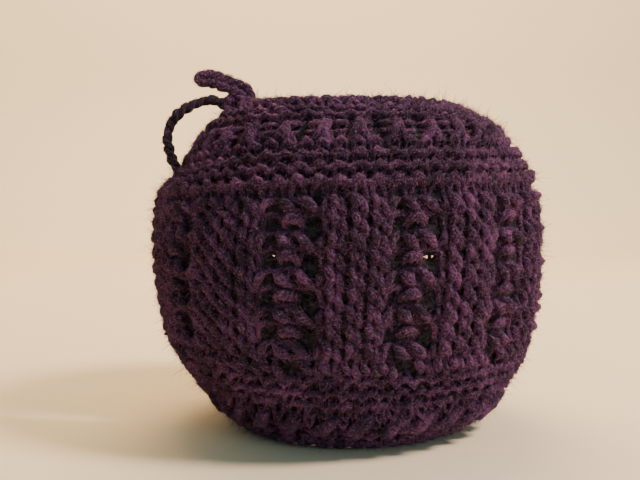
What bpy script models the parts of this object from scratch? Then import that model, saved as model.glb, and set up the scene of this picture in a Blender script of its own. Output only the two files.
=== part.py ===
"""Hand-knitted tea cosy for a round press teapot.

The body is one knitted cloth, open at the top for the lid and at the base, and split on the handle side.
It stands on its hem in the round shape that it has when worn. A knot closes the top of the split, and a
bow loop and a thin chain strand come out of it. Millimetres are used up to the last step, which scales
each mesh to metres. The split faces -X and the pouring lip's side faces +X.
"""
import math

import bmesh
import bpy
from mathutils import Vector

MM = 0.001

# Cloth: a chunky knit, two crossing strands thick.
CLOTH_THICKNESS = 5.0
HEM_INNER_RADIUS = 41.5

# Outer face of the body, from the flat hem to the top edge, mm.
BODY_SECTION = (
    # height, radius
    (0.0, 46.5),
    (3.0, 53.0),
    (10.0, 61.5),
    (22.0, 70.3),
    (38.0, 77.2),
    (56.0, 81.0),
    (74.0, 82.0),
    (90.0, 81.2),
    (104.0, 78.4),
    (116.0, 72.4),
    (126.0, 63.6),
    (133.5, 53.6),
    (138.0, 44.0),
)

# The split for the handle: half its width at each height, mm. Below the first row the cloth is whole.
SPLIT_HALF_WIDTH = (
    # height, half width
    (28.0, 3.9),
    (42.0, 5.6),
    (60.0, 6.6),
    (104.0, 6.6),
    (122.0, 6.0),
    (138.0, 5.0),
)
# The selvedges beside the split curl outwards, up to the height where the top band begins.
SELVEDGE_CURL_BACK = 2.6
SELVEDGE_CURL_FRONT = 1.2
SELVEDGE_TOP = 102.0

# The pouring lip spreads the top edge outwards and down on the +X side.
LIP_SPREAD = 8.0
LIP_DROP = 4.6
LIP_FROM = 121.0
LIP_REACH = math.radians(38.0)

# On the handle side the cloth is drawn in low down and, by the tie, in the top band.
DRAWN_IN = (
    # size, at height, spread up and down, reach round the body in degrees
    (5.6, 15.0, 13.0, 62.0),
    (2.6, 114.0, 13.0, 55.0),
)

# Knit ribs stand proud of the lace columns between the plain bands at the base and the top.
REPEATS_ROUND = 11
RIB_RELIEF = 0.7
RIB_BOTTOM = 26.0
RIB_TOP = 108.0
RIB_FADE = 10.0

# Unevenness of a hand-knitted cloth over a round pot.
LUMPS = (
    # size mm, lobes around, waves up, phase
    (0.80, 2, 1, 0.6),
    (0.65, 3, 2, 2.3),
    (0.45, 5, 3, 4.1),
    (0.30, 8, 4, 1.2),
)

STITCH_COLUMNS = 66
CLOTH_ROWS = 26

# Tie: centre of the knot, then the routes of the bow loop and the strand, mm.
KNOT_CENTRE = (-46.8, 0.0, 134.1)
KNOT_RADII = (5.4, 4.7, 4.1)
BOW_ROUTE = (
    # x, y, z, half height, half width
    (-44.6, 0.3, 141.4, 3.3, 2.4),
    (-48.6, -0.2, 143.4, 3.4, 2.4),
    (-53.4, -0.8, 145.2, 3.5, 2.4),
    (-58.2, -1.2, 146.3, 3.7, 2.5),
    (-62.2, -1.2, 146.4, 3.7, 2.5),
)
STRAND_DIAMETER = 3.6
STRAND_ROUTE = (
    # x, y, z
    (-52.3, -0.1, 135.9),
    (-58.8, -0.7, 137.6),
    (-66.0, -1.8, 135.8),
    (-71.9, -3.0, 132.2),
    (-75.9, -4.4, 127.0),
    (-77.6, -6.0, 120.8),
    (-77.2, -7.6, 114.6),
    (-75.6, -8.8, 109.4),
)
STRAND_SPACING = 3.6

PLUM_WOOL = (0.073, 0.028, 0.088)
PLUM_WOOL_SHADE = (0.055, 0.021, 0.068)


def clear_scene():
    for obj in list(bpy.data.objects):
        bpy.data.objects.remove(obj, do_unlink=True)


def wool(name, colour):
    """Matt wool: no gloss and no metal."""
    material = bpy.data.materials.new(name)
    material.use_nodes = True
    shader = material.node_tree.nodes["Principled BSDF"]
    shader.inputs["Base Color"].default_value = (*colour, 1.0)
    shader.inputs["Roughness"].default_value = 0.95
    shader.inputs["Metallic"].default_value = 0.0
    return material


def add_object(name, bm, material):
    """Turn a bmesh in millimetres into an object in metres."""
    bmesh.ops.recalc_face_normals(bm, faces=bm.faces)
    bmesh.ops.scale(bm, vec=(MM, MM, MM), verts=bm.verts)
    mesh = bpy.data.meshes.new(name)
    bm.to_mesh(mesh)
    bm.free()
    mesh.shade_smooth()
    mesh.materials.append(material)
    obj = bpy.data.objects.new(name, mesh)
    bpy.context.scene.collection.objects.link(obj)
    return obj


def smooth_step(value, low, high):
    t = min(max((value - low) / (high - low), 0.0), 1.0)
    return t * t * (3.0 - 2.0 * t)


def from_table(rows, height):
    """Straight-line reading of a (height, value) table, held at its ends."""
    for (low, start), (high, end) in zip(rows, rows[1:]):
        if height <= high:
            t = max((height - low) / (high - low), 0.0)
            return start + (end - start) * t
    return rows[-1][1]


def smooth_through(points, steps):
    """A Catmull-Rom curve through rows of numbers, with the same number of steps in each span."""
    rows = [Vector(row) for row in points]
    rows = [rows[0] * 2.0 - rows[1], *rows, rows[-1] * 2.0 - rows[-2]]
    curve = []
    for a, b, c, d in zip(rows, rows[1:], rows[2:], rows[3:]):
        for step in range(steps):
            t = step / steps
            curve.append(0.5 * (2.0 * b + (c - a) * t + (2.0 * a - 5.0 * b + 4.0 * c - d) * t * t
                                + (3.0 * b - a - 3.0 * c + d) * t * t * t))
    curve.append(rows[-2])
    return curve


def evenly(curve, count):
    """Read a curve again at count + 1 points the same distance apart."""
    lengths = [0.0]
    for a, b in zip(curve, curve[1:]):
        lengths.append(lengths[-1] + (b - a).length)
    points = []
    span = 0
    for step in range(count + 1):
        wanted = lengths[-1] * step / count
        while span < len(curve) - 2 and lengths[span + 1] < wanted:
            span += 1
        share = (wanted - lengths[span]) / (lengths[span + 1] - lengths[span])
        points.append(curve[span].lerp(curve[span + 1], share))
    return points


def turn_from_split(angle):
    """Angle away from the split, 0 to pi, either way round."""
    return abs((angle + math.pi) % (2.0 * math.pi) - math.pi)


def lumps(angle, height):
    total = 0.0
    for size, lobes, waves, phase in LUMPS:
        up = math.sin(math.pi * waves * height / BODY_SECTION[-1][0] + phase)
        total += size * math.sin(lobes * angle + phase) * up
    return total * smooth_step(height, 0.0, 14.0)


def ribs(angle, height):
    fade_in = smooth_step(height, RIB_BOTTOM - RIB_FADE, RIB_BOTTOM + RIB_FADE)
    fade_out = 1.0 - smooth_step(height, RIB_TOP - RIB_FADE, RIB_TOP + RIB_FADE)
    return -RIB_RELIEF * math.cos(REPEATS_ROUND * angle) * fade_in * fade_out


def drawn_in(angle, height):
    total = 0.0
    for size, middle, spread, reach in DRAWN_IN:
        around = math.exp(-(math.degrees(turn_from_split(angle)) / reach) ** 2)
        total += size * around * math.exp(-((height - middle) / spread) ** 2)
    return total


def selvedge_curl(column, height):
    size = SELVEDGE_CURL_BACK if column > 0 else SELVEDGE_CURL_FRONT
    rise = smooth_step(height, SPLIT_HALF_WIDTH[0][0], SPLIT_HALF_WIDTH[0][0] + 12.0)
    fall = 1.0 - smooth_step(height, SELVEDGE_TOP - 2.0, SELVEDGE_TOP + 6.0)
    return size * rise * fall


def outer_point(column, radius, height):
    """Outer face at a column of the cloth, counted from the split's front edge round to its back edge."""
    half_gap = from_table(SPLIT_HALF_WIDTH, height) / radius
    angle = half_gap + (2.0 * math.pi - 2.0 * half_gap) * column / (STITCH_COLUMNS - 1)
    from_lip = (math.pi - turn_from_split(angle)) / LIP_REACH
    lip = math.exp(-from_lip ** 2) * smooth_step(height, LIP_FROM, BODY_SECTION[-1][0])
    r = radius + lumps(angle, height) + ribs(angle, height) - drawn_in(angle, height) + LIP_SPREAD * lip
    if column in (0, STITCH_COLUMNS - 1):
        r += selvedge_curl(column, height)
    z = height - LIP_DROP * lip
    # The angle starts at the split on -X and runs by -Y, +X and +Y back to it.
    return Vector((-r * math.cos(angle), -r * math.sin(angle), z))


def outer_face():
    """Rows of points on the outer face, from the hem's inner edge to the top edge."""
    section = evenly(smooth_through(BODY_SECTION, 16), CLOTH_ROWS)
    rows = [[outer_point(column, radius, max(height, 0.0)) for column in range(STITCH_COLUMNS)]
            for height, radius in section]
    flat_hem = [point.normalized() * HEM_INNER_RADIUS for point in rows[0]]
    return [flat_hem, *rows]


def inner_face(outer):
    """The outer face moved inwards along its own normals by the cloth's thickness."""
    rows = []
    for j, row in enumerate(outer):
        below = outer[max(j - 1, 0)]
        above = outer[min(j + 1, len(outer) - 1)]
        inner = []
        for i, point in enumerate(row):
            around = row[(i + 1) % STITCH_COLUMNS] - row[i - 1]
            normal = around.cross(above[i] - below[i]).normalized()
            inner.append(point - normal * CLOTH_THICKNESS)
        rows.append(inner)
    return rows


def build_body(material):
    """The knitted body: one closed solid with a top opening, a base opening and the split."""
    outer = outer_face()
    inner = inner_face(outer)
    split_row = next(j for j, row in enumerate(outer) if row[0].z >= SPLIT_HALF_WIDTH[0][0])
    top_row = len(outer) - 1
    gap_cell = STITCH_COLUMNS - 1
    bm = bmesh.new()
    out = [[bm.verts.new(point) for point in row] for row in outer]
    into = [[bm.verts.new(point) for point in row] for row in inner]

    def wall(j_a, i_a, j_b, i_b):
        bm.faces.new((out[j_a][i_a], out[j_b][i_b], into[j_b][i_b], into[j_a][i_a]))

    for j in range(top_row):
        for i in range(STITCH_COLUMNS):
            if i == gap_cell and j >= split_row:
                continue
            k = (i + 1) % STITCH_COLUMNS
            bm.faces.new((out[j][i], out[j][k], out[j + 1][k], out[j + 1][i]))
            bm.faces.new((into[j][i], into[j + 1][i], into[j + 1][k], into[j][k]))
            if j == 0:
                wall(0, i, 0, k)
            if j == top_row - 1 or (i == gap_cell and j == split_row - 1):
                wall(j + 1, i, j + 1, k)
    for j in range(split_row, top_row):
        wall(j, 0, j + 1, 0)
        wall(j, gap_cell, j + 1, gap_cell)
    return add_object("cosy_body", bm, material)


def build_knot(material):
    """An overhand knot pulled tight: a small ball with the strands' turns as shallow ridges."""
    bm = bmesh.new()
    bmesh.ops.create_uvsphere(bm, u_segments=18, v_segments=10, radius=1.0)
    for vert in bm.verts:
        along = math.atan2(vert.co.z, vert.co.x)
        ridge = 1.0 - 0.07 * (1.0 + math.cos(3.0 * along + 4.0 * vert.co.y))
        vert.co = Vector(KNOT_CENTRE) + Vector(c * r for c, r in zip(vert.co * ridge, KNOT_RADII))
    return add_object("tie_knot", bm, material)


def build_bow_loop(material):
    """Two strands lying together: a tube with a waisted section and round ends."""
    sides = 14
    rings = evenly(smooth_through(BOW_ROUTE, 8), 14)
    bm = bmesh.new()
    loops = []
    for index, ring in enumerate(rings):
        before = rings[max(index - 1, 0)]
        after = rings[min(index + 1, len(rings) - 1)]
        along = Vector((after - before)[:3]).normalized()
        sideways = along.cross(Vector((0.0, 0.0, 1.0))).normalized()
        upright = sideways.cross(along)
        loops.append([])
        for side in range(sides):
            turn = 2.0 * math.pi * side / sides
            waist = 1.0 - 0.16 * math.sin(turn) ** 4
            offset = upright * ring[3] * math.cos(turn) + sideways * ring[4] * math.sin(turn) * waist
            loops[-1].append((Vector(ring[:3]), offset, along))
    caps = 3
    cap_turns = [math.pi / 2.0 * step / (caps + 1) for step in range(1, caps + 1)]
    bulge = BOW_ROUTE[0][3] * 0.8

    def cap(loop, direction):
        return [[centre + offset * math.cos(turn) + along * direction * bulge * math.sin(turn)
                 for centre, offset, along in loop] for turn in cap_turns]

    body = [[centre + offset for centre, offset, along in loop] for loop in loops]
    stations = [*reversed(cap(loops[0], -1.0)), *body, *cap(loops[-1], 1.0)]
    verts = [[bm.verts.new(point) for point in station] for station in stations]
    for a, b in zip(verts, verts[1:]):
        for side in range(sides):
            nxt = (side + 1) % sides
            bm.faces.new((a[side], a[nxt], b[nxt], b[side]))
    for station, loop, direction in ((verts[0], loops[0], -1.0), (verts[-1], loops[-1], 1.0)):
        tip = bm.verts.new(loop[0][0] + loop[0][2] * direction * bulge)
        for side in range(sides):
            bm.faces.new((station[side], station[(side + 1) % sides], tip))
    return add_object("bow_loop", bm, material)


def build_strand(material):
    """The chain strand: one round tube from the knot down to the front edge of the split."""
    curve = bpy.data.curves.new("tie_strand", "CURVE")
    curve.dimensions = "3D"
    curve.bevel_depth = STRAND_DIAMETER / 2.0 * MM
    curve.bevel_resolution = 2
    curve.use_fill_caps = True
    route = smooth_through(STRAND_ROUTE, 8)
    length = sum((b - a).length for a, b in zip(route, route[1:]))
    points = evenly(route, round(length / STRAND_SPACING))
    spline = curve.splines.new("POLY")
    spline.points.add(len(points) - 1)
    for spline_point, point in zip(spline.points, points):
        spline_point.co = (*(point * MM), 1.0)
    curve.materials.append(material)
    obj = bpy.data.objects.new("tie_strand", curve)
    bpy.context.scene.collection.objects.link(obj)
    return obj


def main():
    clear_scene()
    body_wool = wool("plum_wool", PLUM_WOOL)
    tie_wool = wool("plum_wool_tie", PLUM_WOOL_SHADE)
    build_body(body_wool)
    build_knot(tie_wool)
    build_bow_loop(tie_wool)
    build_strand(tie_wool)


main()
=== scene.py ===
# %% [markdown]
# # A hand-knitted wool tea cosy
# The object is one chunky knitted cloth, worn round by a teapot: plain bands at the hem and the top, lace
# columns between knit ribs, a split for the handle, and a yarn tie that closes the split's top. The CAD
# model gives its outer shape. This lesson dresses that shape in real yarn, stitch by stitch, because the eye
# reads single strands at this size, and a bump map could not show holes or a fuzzy outline.

# %% Load the frame and keep its box
import math
import bmesh
import bpy
import numpy as np
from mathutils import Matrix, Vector


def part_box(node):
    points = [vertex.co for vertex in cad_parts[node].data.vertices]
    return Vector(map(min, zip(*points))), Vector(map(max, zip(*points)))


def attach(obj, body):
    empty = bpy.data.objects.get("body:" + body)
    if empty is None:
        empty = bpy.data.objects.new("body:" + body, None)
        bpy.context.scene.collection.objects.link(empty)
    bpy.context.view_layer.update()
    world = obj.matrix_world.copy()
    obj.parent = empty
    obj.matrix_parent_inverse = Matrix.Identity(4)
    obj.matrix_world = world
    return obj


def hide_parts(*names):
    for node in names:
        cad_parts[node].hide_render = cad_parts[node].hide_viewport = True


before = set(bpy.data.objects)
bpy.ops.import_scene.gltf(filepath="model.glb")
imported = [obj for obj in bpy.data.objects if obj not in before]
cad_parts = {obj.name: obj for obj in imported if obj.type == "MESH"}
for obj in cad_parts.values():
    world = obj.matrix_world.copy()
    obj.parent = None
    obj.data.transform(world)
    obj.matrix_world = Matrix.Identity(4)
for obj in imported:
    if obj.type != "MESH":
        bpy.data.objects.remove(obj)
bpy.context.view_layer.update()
BODY_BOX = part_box("cosy_body")
MM = 0.001


def in_mm(box):
    return [[round(v / MM, 1) for v in corner] for corner in box]


print("its cloth, mm:", in_mm(BODY_BOX))

# %% [markdown]
# ## Camera
# A normal lens stands a little above the cosy's middle, ten degrees round from the front towards the split,
# and looks slightly down. Its place, heading and pitch are set, so nothing has to be tracked.

# %% Camera
def add_object(name, data):
    """Put a mesh, a light or a camera into the scene."""
    obj = bpy.data.objects.new(name, data)
    bpy.context.scene.collection.objects.link(obj)
    return obj


LENS = 56.25
SENSOR = 36.0
CAMERA_DISTANCE = 0.430
CAMERA_HEIGHT = 0.112
CAMERA_ROUND = math.radians(10.0)
AIM_LEFT = math.radians(1.66)
AIM_DOWN = math.radians(4.46)

camera_data = bpy.data.cameras.new("studio_camera")
camera_data.lens = LENS
camera_data.sensor_width = SENSOR
camera_data.clip_start = 0.01
camera = add_object("studio_camera", camera_data)
camera.location = (-CAMERA_DISTANCE * math.sin(CAMERA_ROUND), -CAMERA_DISTANCE * math.cos(CAMERA_ROUND),
                   CAMERA_HEIGHT)
camera.rotation_euler = (math.pi / 2 - AIM_DOWN, 0.0, AIM_LEFT - CAMERA_ROUND)
bpy.context.scene.camera = camera
print("camera at", [round(v, 4) for v in camera.location])

# %% [markdown]
# ## Materials
# The yarn is a worsted-spun wool with a mohair-like halo, dyed deep plum. Wool takes dye unevenly: its tips
# are paler and redder, and the depth between strands is nearly black. It has no gloss, but its fuzz catches
# light at grazing angles, which the shader's sheen gives.

# %% Colour and node helpers
def linear(hex_colour):
    """sRGB hex to the linear values that a shader wants."""
    out = []
    for start in (1, 3, 5):
        value = int(hex_colour[start:start + 2], 16) / 255
        out.append(value / 12.92 if value <= 0.04045 else ((value + 0.055) / 1.055) ** 2.4)
    return (*out, 1.0)


def feed(tree, node, inputs):
    """Fill input sockets, by name or number: a node or a socket is linked, and any other value is set."""
    for place, source in inputs.items():
        if isinstance(source, bpy.types.Node):
            source = source.outputs[0]
        if isinstance(source, bpy.types.NodeSocket):
            tree.links.new(source, node.inputs[place])
        else:
            node.inputs[place].default_value = source


def add_node(tree, kind, inputs=None, **settings):
    """Add a node with its settings, and link or set its inputs."""
    node = tree.nodes.new("ShaderNode" + kind)
    for name, value in settings.items():
        setattr(node, name, value)
    feed(tree, node, inputs or {})
    return node


def set_stops(ramp, *stops):
    """Give a colour ramp its stops, each an amount and a colour."""
    elements = ramp.color_ramp.elements
    for _ in stops[2:]:
        elements.new(0.5)
    for element, (position, colour) in zip(elements, stops):
        element.position = position
        element.color = linear(colour)


def new_material(name, roughness):
    material = bpy.data.materials.new(name)
    material.use_nodes = True
    shader = material.node_tree.nodes["Principled BSDF"]
    # Wool scatters light among its fibres and has no face that mirrors it, so the mirror part is kept low.
    feed(material.node_tree, shader, {"Roughness": roughness, "IOR": 1.54, "Specular IOR Level": 0.12})
    return material, material.node_tree, shader


# %% Spun wool
YARN = 2.6 * MM
PLY_TWIST = 15.0 * MM
FIBRE = 0.7 * MM
GRAIN = 0.8 * MM
STREAK_LENGTH = 3.125 * MM
PATCHES_PER_METRE = 90.0        # a patch of dye each 11 mm


def spun_wool(name, dark, mid, light, sheen):
    """Wool yarn: streaks of fibre wind round it, and its dye is patchy."""
    material, tree, shader = new_material(name, 0.92)
    uv = add_node(tree, "UVMap", uv_map="along_yarn")
    split = add_node(tree, "SeparateXYZ", {0: uv})
    turns = add_node(tree, "Math", {0: split.outputs[1], 1: 1.0 / PLY_TWIST}, operation="MULTIPLY")
    turned = add_node(tree, "Math", {0: split.outputs[0], 1: turns}, operation="ADD")
    angle = add_node(tree, "Math", {0: turned, 1: math.tau}, operation="MULTIPLY")
    # One turn round the yarn is drawn as a circle, so that the streaks meet where the turn closes.
    side_x = add_node(tree, "Math", {0: angle}, operation="COSINE")
    side_y = add_node(tree, "Math", {0: angle}, operation="SINE")
    along = add_node(tree, "Math", {0: split.outputs[1], 1: 1.0 / STREAK_LENGTH}, operation="MULTIPLY")
    circle = add_node(tree, "CombineXYZ", {0: side_x, 1: side_y, 2: along})
    streak = {"Vector": circle, "Scale": YARN / FIBRE / 2, "Detail": 3.0, "Roughness": 0.65}
    fibres = add_node(tree, "TexNoise", streak)
    place = add_node(tree, "TexCoord").outputs["Object"]
    tuft = {"Vector": place, "Scale": 1.0 / GRAIN, "Detail": 2.0, "Roughness": 0.7}
    tufts = add_node(tree, "TexNoise", tuft)
    patches = add_node(tree, "TexNoise", {"Vector": place, "Scale": PATCHES_PER_METRE, "Detail": 2.0})
    surface = add_node(tree, "Math", {0: fibres, 1: tufts}, operation="ADD")
    dyed = add_node(tree, "Math", {0: surface, 1: patches}, operation="ADD")
    mixed = add_node(tree, "Math", {0: dyed, 1: 3.0}, operation="DIVIDE")
    colour = add_node(tree, "ValToRGB", {0: mixed})
    set_stops(colour, (0.42, dark), (0.5, mid), (0.585, light))
    bump = add_node(tree, "Bump", {"Height": surface, "Strength": 1.0, "Distance": 0.9 * MM})
    feed(tree, shader, {"Base Color": colour, "Normal": bump, "Sheen Weight": sheen,
                        "Sheen Roughness": 0.45, "Sheen Tint": linear("#B5789A")})
    return material


PLUM_YARN = spun_wool("plum_spun_wool", "#1A1B20", "#372641", "#724870", 0.25)
PLUM_TIE = spun_wool("plum_tie_wool", "#1B161D", "#412A45", "#7D4E70", 0.25)
# The tie's long strand is the same wool, with the shade it hangs in painted into its colour, so it looks
# darker.
STRAND_WOOL_PAINTED_SHADE = spun_wool("plum_strand_wool_painted_shade", "#101014", "#1D1822", "#3A2B3C", 0.12)

# %% [markdown]
# The net under the yarn stands for the inner half of the cloth, which is only seen between strands.
# It is the same wool in shade, so it is nearly black and has a felted grain.

# %% Felted ground
FELT_GRAIN = MM / 0.6       # coarser than real felt, so that it shows


def felted_wool(name, dark, light):
    material, tree, shader = new_material(name, 0.95)
    place = add_node(tree, "TexCoord").outputs["Object"]
    grain = add_node(tree, "TexNoise", {"Vector": place, "Scale": 1.0 / FELT_GRAIN, "Detail": 3.0})
    colour = add_node(tree, "ValToRGB", {0: grain})
    set_stops(colour, (0.35, dark), (0.7, light))
    bump = add_node(tree, "Bump", {"Height": grain, "Strength": 1.0, "Distance": 1.2 * MM})
    feed(tree, shader, {"Base Color": colour, "Normal": bump})
    return material


GROUND_WOOL = felted_wool("plum_felted_ground", "#0C0C0E", "#353037")
INNER_WOOL = felted_wool("plum_felted_inside", "#1A1520", "#4A3350")


def loose_fibre(name, dark, light):
    """Single fibres: thin, a little shiny, and each dyed a little lighter or darker than the next."""
    material, tree, shader = new_material(name, 0.7)
    place = add_node(tree, "TexCoord").outputs["Object"]
    dye = add_node(tree, "TexNoise", {"Vector": place, "Scale": 1.0 / GRAIN, "Detail": 1.0})
    colour = add_node(tree, "ValToRGB", {0: dye})
    set_stops(colour, (0.36, dark), (0.64, light))
    feed(tree, shader, {"Base Color": colour})
    return material


PLUM_NAP = loose_fibre("plum_nap_fibre", "#1D1D23", "#8D5A84")
PLUM_FIBRE = loose_fibre("plum_loose_fibre", "#2A1630", "#8A5C86")
SHADED_FIBRE = loose_fibre("plum_shaded_fibre", "#141317", "#5C455A")
print("materials:", [m.name for m in bpy.data.materials if m.name.startswith("plum")])

# %% [markdown]
# ## The worn shape
# A point in the cloth is described by how far round it is, how far up from the hem, and how far out of the
# cloth's middle. These functions follow the CAD solid: a turned section, slow lumps, the pouring lip, the
# drawn-in handle side and the curled edges of the split.

# %% Sections of the body
BODY_SECTION = (
    # height, radius, mm
    (0.0, 46.5), (3.0, 53.0), (10.0, 61.5), (22.0, 70.3), (38.0, 77.2), (56.0, 81.0), (74.0, 82.0),
    (90.0, 81.2), (104.0, 78.4), (116.0, 72.4), (126.0, 63.6), (133.5, 53.6), (138.0, 44.0))
SPLIT_HALF_WIDTH = (
    # height, half width, mm
    (28.0, 3.9), (42.0, 5.6), (60.0, 6.6), (104.0, 6.6), (122.0, 6.0), (138.0, 5.0))
TOP_HEIGHT = BODY_SECTION[-1][0]
WIDEST_RADIUS = max(radius for _, radius in BODY_SECTION)
SELVEDGE_CURL_BACK, SELVEDGE_CURL_FRONT = 2.6, 1.2
LIP_SPREAD, LIP_DROP, LIP_FROM, LIP_REACH = 8.0, 4.6, 121.0, math.radians(38.0)
DRAWN_IN = (
    # size, at height, spread up and down, reach round the body in degrees
    (5.6, 15.0, 13.0, 62.0),
    (4.2, 116.0, 13.0, 55.0),
)
LUMPS = (
    # size mm, lobes around, waves up, phase
    (0.80, 2, 1, 0.6), (0.65, 3, 2, 2.3), (0.45, 5, 3, 4.1), (0.30, 8, 4, 1.2))
REPEATS_ROUND = 11
RIB_RELIEF = 0.7


def smooth_through(points, steps):
    """A Catmull-Rom curve through rows of numbers."""
    rows = np.array(points, float)
    rows = np.vstack([2.0 * rows[0] - rows[1], rows, 2.0 * rows[-1] - rows[-2]])
    t = (np.arange(steps) / steps)[:, None]
    curve = [0.5 * (2.0 * b + (c - a) * t + (2.0 * a - 5.0 * b + 4.0 * c - d) * t * t
                    + (3.0 * b - a - 3.0 * c + d) * t ** 3)
             for a, b, c, d in zip(rows, rows[1:], rows[2:], rows[3:])]
    return np.vstack([*curve, rows[-2:-1]])


def lengths_along(points):
    return np.concatenate([[0.0], np.cumsum(np.linalg.norm(np.diff(points, axis=0), axis=1))])


SECTION = smooth_through(BODY_SECTION, 16)
SECTION_LENGTH = lengths_along(SECTION)
CLOTH_LENGTH = SECTION_LENGTH[-1]
print(f"cloth from hem to top edge: {CLOTH_LENGTH:.1f} mm")

# %% The outer face
def smooth_step(value, low, high):
    t = np.clip((value - low) / (high - low), 0.0, 1.0)
    return t * t * (3.0 - 2.0 * t)


def from_table(rows, value):
    table = np.array(rows)
    return np.interp(value, table[:, 0], table[:, 1])


def section_at(up):
    """Height and radius of the section, up mm from the hem along the cloth."""
    return (np.interp(up, SECTION_LENGTH, SECTION[:, 0]), np.interp(up, SECTION_LENGTH, SECTION[:, 1]))


def outer_face(angle, up, edge):
    """The outer face. The angle runs from the split on -X by the front; edge is how near a split edge is."""
    height, radius = section_at(up)
    turn = np.abs((angle + math.pi) % math.tau - math.pi)
    lumps = sum(size * np.sin(lobes * angle + phase) * np.sin(math.pi * waves * height / TOP_HEIGHT + phase)
                for size, lobes, waves, phase in LUMPS) * smooth_step(height, 0.0, 14.0)
    ribs = (-RIB_RELIEF * np.cos(REPEATS_ROUND * angle) * smooth_step(height, 16.0, 36.0)
            * (1.0 - smooth_step(height, 98.0, 118.0)))
    drawn = sum(size * np.exp(-(np.degrees(turn) / reach) ** 2) * np.exp(-((height - middle) / spread) ** 2)
                for size, middle, spread, reach in DRAWN_IN)
    lip = np.exp(-((math.pi - turn) / LIP_REACH) ** 2) * smooth_step(height, LIP_FROM, TOP_HEIGHT)
    curl = (np.where(angle < math.pi, SELVEDGE_CURL_FRONT, SELVEDGE_CURL_BACK) * edge
            * smooth_step(height, 28.0, 40.0) * (1.0 - smooth_step(height, 100.0, 108.0)))
    r = radius + lumps + ribs - drawn + LIP_SPREAD * lip + curl
    return np.stack([-r * np.cos(angle), -r * np.sin(angle), height - LIP_DROP * lip], -1)


print("handle side, mid height, mm:", outer_face(0.0, CLOTH_LENGTH / 2.0, 0.0).round(1))

# %% Points in the cloth
WALES = 66
DRIFT = math.radians(3.0)
CROWDED = np.radians([5.0, 38.0, 22.0])     # by how much, at what angle and over what reach


def angle_at(share, up, in_round):
    """Angle of a place share of the way round. Above the base the split takes up some of the turn."""
    height, radius = section_at(up)
    gap = np.where(in_round, 0.0, from_table(SPLIT_HALF_WIDTH, height) / radius)
    angle = gap + (math.tau - 2.0 * gap) * share + np.where(in_round, math.pi / WALES, 0.0)
    drift = DRIFT * (1.0 - smooth_step(height, 50.0, 98.0)) * smooth_step(height, 8.0, 40.0)
    crowded = CROWDED[0] * np.exp(-((angle - CROWDED[1]) / CROWDED[2]) ** 2)
    return angle - drift * np.sin(angle / 2.0) ** 2 - crowded


def unit(vectors):
    return vectors / np.linalg.norm(vectors, axis=-1, keepdims=True)


MIDDLE_DEPTH = 3.0
EDGE_MARGIN = 0.4                       # mm along the cloth, within which its slope is measured
FLOOR_CLEARANCE = 0.1
SAG, SAG_REACH = 10.0, 8.0              # mm, stitches
SAG_FROM, SAG_LOWEST = 96.0, 135.0      # mm up the cloth


def sagged(up, columns):
    """Near the split the shoulder's rows hang lower, because only the tie holds the cloth's corner up."""
    rising = smooth_step(up, SAG_FROM, SAG_LOWEST)
    falling = 1.0 - smooth_step(up, SAG_LOWEST, CLOTH_LENGTH - 2.0)
    return up - SAG * np.exp(-(np.maximum(columns, 0.0) / SAG_REACH) ** 2) * rising * falling


def in_cloth(share, up, lift, in_round):
    """Points in the cloth, in mm: share of the way round, up from the hem, lift out of the cloth's middle."""
    share, up, lift = np.broadcast_arrays(*(np.asarray(v, float) for v in (share, up, lift)))
    columns = np.minimum(share, 1.0 - share) * (WALES - 1)
    edge = np.where(in_round, 0.0, np.exp(-np.maximum(columns, 0.0) ** 2))
    up = sagged(up, columns)
    angle = angle_at(share, up, in_round)
    inside = np.clip(up, EDGE_MARGIN, CLOTH_LENGTH - EDGE_MARGIN)
    point = outer_face(angle, inside, edge)
    around = outer_face(angle + 0.01, inside, edge) - outer_face(angle - 0.01, inside, edge)
    upward = outer_face(angle, inside + EDGE_MARGIN, edge) - outer_face(angle, inside - EDGE_MARGIN, edge)
    normal = unit(np.cross(around, upward))
    return point + unit(upward) * (up - inside)[..., None] + normal * (lift - MIDDLE_DEPTH)[..., None]


print("front of the hem, mm:", in_cloth(0.25, 0.0, 0.0, True).round(1))

# %% [markdown]
# ## The knitting chart
# Each line is a row of loops: what is knitted, how many stitches go round, and how tall the row is. Plain
# bands are purl, so their bumps show; ribs are knit, so their V legs show; and the lace repeats every six
# stitches and two rows: yarn over, double decrease, yarn over.

# %% Rows
LACE_ROWS = 11
RIM_HEIGHT = 2.7
SPLIT_FROM = 42.0
CHART = (
    # what is knitted, stitches round, row height mm, how many rows
    ("edge", 44, 4.6, 3), ("stems", 31, 9.6, 1), ("pairs", 62, 5.8, 1), ("purl", 66, 5.5, 3),
    ("lace", 65, 6.76, LACE_ROWS - 1), ("lace", 65, 1.9, 1),
    ("purl", 65, 5.9, 3), ("pairs", 58, 4.6, 1), ("stems", 29, 6.0, 1), ("edge", 44, 4.7, 4))
BAND_ENDS = (0, 8, 8 + LACE_ROWS, 8 + LACE_ROWS + 9)


def write_rows():
    """One dictionary for each row, with its place up the cloth scaled to fill it."""
    rows = []
    total = sum(height * count for _, _, height, count in CHART)
    up = 0.0
    for kind, stitches, height, count in CHART:
        for _ in range(count):
            step = height * (CLOTH_LENGTH - RIM_HEIGHT) / total
            number = rows[-1]["number"] + 1 if rows and rows[-1]["kind"] == kind else 0
            rows.append({"kind": kind, "stitches": stitches, "up": up + step / 2.0, "height": step,
                         "number": number, "in_round": up < SPLIT_FROM})
            up += step
    return rows


ROWS = write_rows()
ROW_UP = np.array([row["up"] for row in ROWS])
print(len(ROWS), "rows,", sum(row["stitches"] for row in ROWS), "stitches")


def up_at(row_place):
    """Height up the cloth of a place counted in rows, going on straight past the first and the last."""
    last = len(ROWS) - 1
    inside = np.interp(row_place, np.arange(len(ROWS)), ROW_UP)
    below = np.minimum(row_place, 0.0) * ROWS[0]["height"]
    above = np.maximum(row_place - last, 0.0) * ROWS[-1]["height"]
    return inside + below + above


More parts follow.
